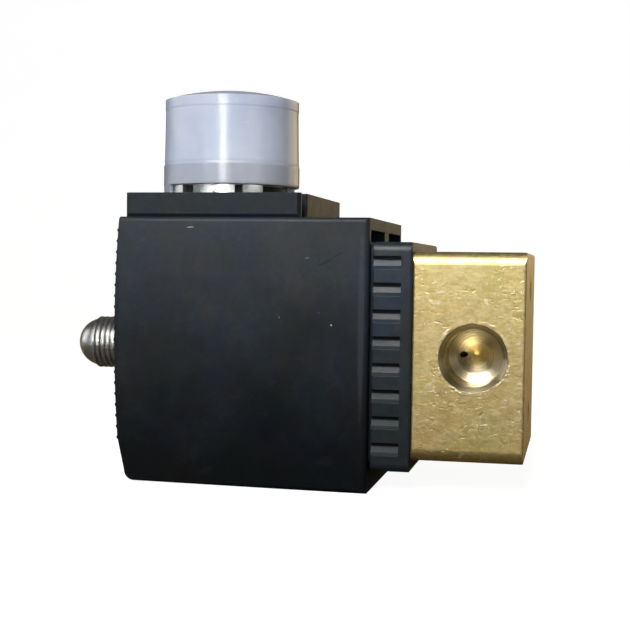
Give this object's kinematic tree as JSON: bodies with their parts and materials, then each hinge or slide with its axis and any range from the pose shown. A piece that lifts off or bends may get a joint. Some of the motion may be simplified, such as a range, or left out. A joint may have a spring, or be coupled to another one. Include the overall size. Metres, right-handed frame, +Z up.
{
  "type": "solenoid valve",
  "caption": "Direct acting solenoid valve: square brass body with opposed side ports, black encapsulated coil on an armature tube, and a round capped electrical connector.",
  "frame": {"origin": "where the armature tube axis crosses the common axis of the two side ports, inside the brass body", "axes": "+X along the armature tube axis from the coil towards the end face of the brass body; -Y out of the near (inlet) port; +Z up through the electrical connector"},
  "size_m": [0.0771, 0.0346, 0.0637],
  "materials": {
    "brass": "machined, lightly tarnished",
    "stainless": "turned",
    "seal_rubber": "smooth",
    "core_steel": "turned, dull",
    "copper": "bright copper",
    "ptfe": "waxy",
    "spring_steel": "drawn wire",
    "black_plastic": "fine moulded grain",
    "base_plastic": "moulded, satin",
    "yoke_steel": "blackened",
    "bobbin_plastic": "natural",
    "enamelled_wire": "enamelled copper",
    "lead_jacket": "smooth",
    "plated_steel": "zinc plated",
    "nickel_brass": "satin nickel plate",
    "insert_plastic": "moulded",
    "gold_plate": "flash gold",
    "cap_plastic": "milky translucent"
  },
  "bodies": {
    "valve": {"valve_body": "brass", "seat_insert": "stainless", "gland_ring": "brass", "body_oring": "seal_rubber", "armature_tube": "stainless", "fixed_core": "core_steel", "shading_ring": "copper", "return_spring": "spring_steel"},
    "plunger": {"plunger": "core_steel", "guide_ring": "ptfe", "plunger_seal": "seal_rubber"},
    "coil": {"coil_shell": "black_plastic", "coil_base": "base_plastic", "yoke_frame": "yoke_steel", "yoke_plate": "yoke_steel", "bobbin": "bobbin_plastic", "winding": "enamelled_wire", "coil_leads": "lead_jacket", "base_oring": "seal_rubber", "tail_oring": "seal_rubber", "connector_base": "black_plastic", "pad_bezel": "black_plastic", "pad_gasket": "seal_rubber", "pad_screws": "plated_steel", "connector_shell": "nickel_brass", "lock_ring": "nickel_brass", "connector_insert": "insert_plastic", "contact_pins": "gold_plate"},
    "washer": {"tail_washer": "plated_steel"},
    "nut": {"coil_nut": "plated_steel"},
    "cap": {"protective_cap": "cap_plastic"}
  },
  "joints": [
    {"name": "plunger_slide", "type": "slide", "parent": "valve", "child": "plunger", "axis": [-1, 0, 0], "range_m": [0, 0.001], "stiffness_N_per_m": 300, "deforming": ["return_spring"]},
    {"name": "coil_swivel", "type": "hinge", "parent": "valve", "child": "coil", "pos_m": [-0.03, 0, 0], "axis": [1, 0, 0], "range_deg": [-180, 180]},
    {"name": "nut_travel", "type": "slide", "parent": "valve", "child": "washer", "axis": [-1, 0, 0], "range_m": [0, 0.003]},
    {"name": "nut_turn", "type": "hinge", "parent": "washer", "child": "nut", "pos_m": [-0.058, 0, 0], "axis": [-1, 0, 0], "range_deg": [0, 1080]},
    {"name": "cap_lift", "type": "slide", "parent": "coil", "child": "cap", "axis": [0, 0, 1], "range_m": [0, 0.02]}
  ],
  "couplings": [
    {"joint": "nut_turn", "follows": "nut_travel", "rad_per_m": 6283.2}
  ]
}
